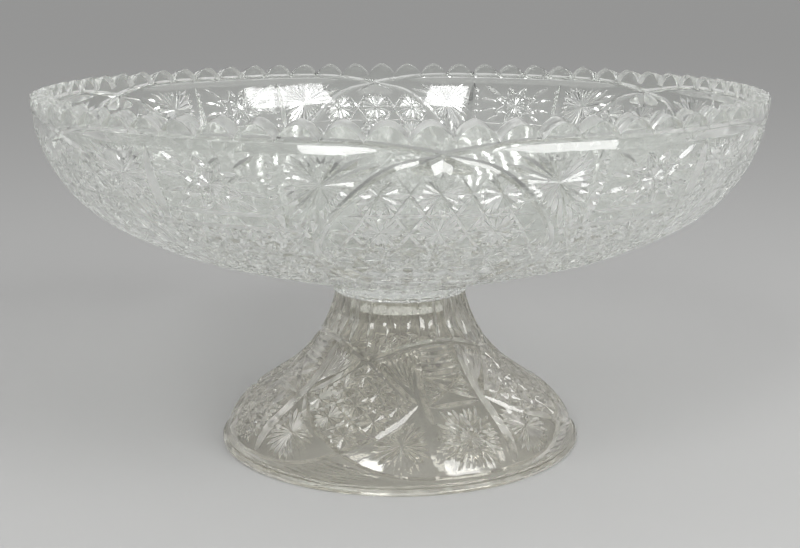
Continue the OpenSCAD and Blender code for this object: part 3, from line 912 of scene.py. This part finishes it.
# %% [markdown]
# Facets must stay crisp and the turned surface must stay smooth. Edges sharper than a limit are marked
# sharp, and everything else is shaded smooth. The solver leaves some edges too short to see, which would
# spoil the shading. They are dissolved and not merged by distance, because merging can glue two separate
# faces together at one edge and open the solid.

# %% Crisp facets, smooth glass
CREASE = radians(14)
SHORTEST_EDGE = 0.002   # mm


def shade(piece):
    work = bmesh.new()
    work.from_mesh(piece.data)
    bmesh.ops.dissolve_degenerate(work, edges=work.edges, dist=SHORTEST_EDGE * MM)
    open_edges = sum(not e.is_manifold for e in work.edges)
    for f in work.faces:
        f.smooth = True
    for e in work.edges:
        e.smooth = len(e.link_faces) == 2 and e.calc_face_angle(0) < CREASE
    work.to_mesh(piece.data)
    work.free()
    triangles = sum(len(p.vertices) - 2 for p in piece.data.polygons)
    print(piece.name, triangles, "triangles,", open_edges, "open edges")


for piece in (bowl, stand):
    shade(piece)

# %% [markdown]
# Each piece of glass rides on its own body, so the bowl lifts off the stand in the lift's poses.

# %% Put the glass in the frame
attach(bowl, "bowl")
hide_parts("bowl")
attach(stand, "stand")
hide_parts("stand")

# %% [markdown]
# The studio: a plain pale floor that runs to the horizon, a sky that is dim at the horizon and bright
# above, and two windows behind the camera, one on each side. Clear glass has no colour of its own, so this
# surround is most of what it shows: the windows give the bright patches on the ledge and the back wall,
# and the dim horizon gives the facets something darker to bend into view.

# %% Floor, sky and lamps
FLOOR_COLOUR = "#b3b3b2"
FLOOR_REACH = 60.0
FLOOR_DROP = 0.05       # mm, so that the foot's flat face and the floor never coincide
square = ((-1, -1), (1, -1), (1, 1), (-1, 1))
corners = [(x * FLOOR_REACH, y * FLOOR_REACH, -FLOOR_DROP * MM) for x, y in square]
floor = mesh_object("floor", corners, [(0, 1, 2, 3)])
bpy.context.scene.collection.objects.link(floor)
paint = bpy.data.materials.new("matt_grey_paper")
paint.use_nodes = True
paint.node_tree.nodes["Principled BSDF"].inputs["Base Color"].default_value = to_linear(FLOOR_COLOUR)
paint.node_tree.nodes["Principled BSDF"].inputs["Roughness"].default_value = 0.8
floor.data.materials.append(paint)

HORIZON_GREY = "#6a6a6a"
SKY_WHITE_AT = 0.6      # height of the direction, from 0 at the horizon to 1 overhead
SKY_STRENGTH = 0.69
world = bpy.data.worlds.new("studio")
bpy.context.scene.world = world
world.use_nodes = True
sky = world.node_tree
sky.nodes.clear()
look = node(sky, "ShaderNodeTexCoord")
split = node(sky, "ShaderNodeSeparateXYZ", [("Vector", look.outputs["Generated"])])
fade = node(sky, "ShaderNodeValToRGB", [("Fac", split.outputs["Z"])])
fade.color_ramp.elements[0].color = to_linear(HORIZON_GREY)
fade.color_ramp.elements[1].color = to_linear("#ffffff")
fade.color_ramp.elements[1].position = SKY_WHITE_AT
glow = node(sky, "ShaderNodeBackground", [("Color", fade.outputs[0])], Strength=SKY_STRENGTH)
node(sky, "ShaderNodeOutputWorld", [("Surface", glow.outputs[0])])


def softbox(name, place, aim, size, radiance):
    """A rectangle of light; radiance 1 looks as white as white paper in full light."""
    data = bpy.data.lights.new(name, "AREA")
    data.shape = "RECTANGLE"
    data.size, data.size_y = size
    data.energy = radiance * pi * size[0] * size[1]
    lamp = bpy.data.objects.new(name, data)
    lamp.location = place
    lamp.rotation_euler = (Vector(aim) - Vector(place)).to_track_quat("-Z", "Y").to_euler()
    bpy.context.scene.collection.objects.link(lamp)


softbox("window_left", (-0.30, -0.80, 0.66), (0, 0, 0.1), (0.26, 0.45), 13.0)
softbox("window_right", (0.73, -0.65, 0.64), (0, 0, 0.1), (0.62, 0.45), 9.3)
bpy.context.scene.view_settings.view_transform = "Standard"
print("stage set")

# %% [markdown]
# Light that enters a cut glass is often thrown back and forth inside it many times before it gets out.
# With the usual limit of a few bounces those paths end in black, which shows as dark stripes.

# %% Let light bounce often enough in the glass
GLASS_BOUNCES = 20
MOST_BOUNCES = 24
bpy.context.scene.cycles.max_bounces = MOST_BOUNCES
bpy.context.scene.cycles.glossy_bounces = GLASS_BOUNCES
bpy.context.scene.cycles.transmission_bounces = GLASS_BOUNCES
print("bounces:", GLASS_BOUNCES, "in glass,", MOST_BOUNCES, "in all")
